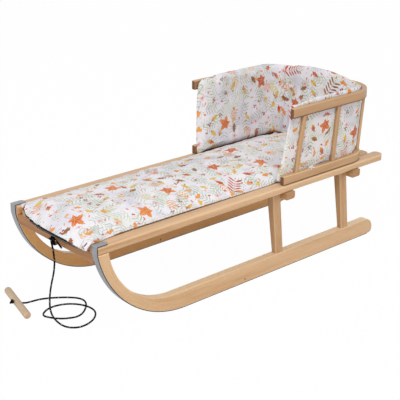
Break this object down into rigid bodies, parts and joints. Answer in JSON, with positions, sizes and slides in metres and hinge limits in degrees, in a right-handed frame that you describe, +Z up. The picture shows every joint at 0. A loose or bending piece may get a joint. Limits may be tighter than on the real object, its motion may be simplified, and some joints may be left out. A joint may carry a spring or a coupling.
{
  "type": "wooden sled",
  "caption": "Children's wooden sled on bent steel-shod runners, with slatted seat, hooped backrest with cushions, and a pull cord with a dowel handle.",
  "frame": {"origin": "middle of the sled's footprint on the floor, the free cord and its handle left out", "axes": "+X forward along the runners to their bent noses, +Y to the rider's left, +Z up"},
  "size_m": [1.0626, 0.388, 0.452],
  "materials": {
    "beech": "clear satin lacquer on beech",
    "strap_steel": "satin rolled steel",
    "cushion_fabric": "printed cotton, padded",
    "cord": "braided cord, black with pale flecks",
    "handle_wood": "plain sanded"
  },
  "bodies": {
    "root": {"back_liner": "cushion_fabric", "backrest_low_hoop": "beech", "backrest_top_hoop": "beech", "cord_end_knot": "cord", "cord_knot": "cord", "crossbar_mid": "beech", "crossbar_nose": "beech", "crossbar_rear": "beech", "leg_front_left": "beech", "leg_front_right": "beech", "leg_rear_left": "beech", "leg_rear_right": "beech", "pull_cord": "cord", "pull_handle": "handle_wood", "runner_left": "beech", "runner_right": "beech", "runner_strap_left": "strap_steel", "runner_strap_right": "strap_steel", "seat_cushion": "cushion_fabric", "seat_slat_1": "beech", "seat_slat_2": "beech", "seat_slat_3": "beech", "seat_slat_4": "beech", "side_rail_left": "beech", "side_rail_right": "beech", "spindle_back_left": "beech", "spindle_back_right": "beech", "spindle_corner_left": "beech", "spindle_corner_right": "beech", "spindle_front_left": "beech", "spindle_front_right": "beech", "spindle_middle_left": "beech", "spindle_middle_right": "beech"}
  },
  "joints": []
}
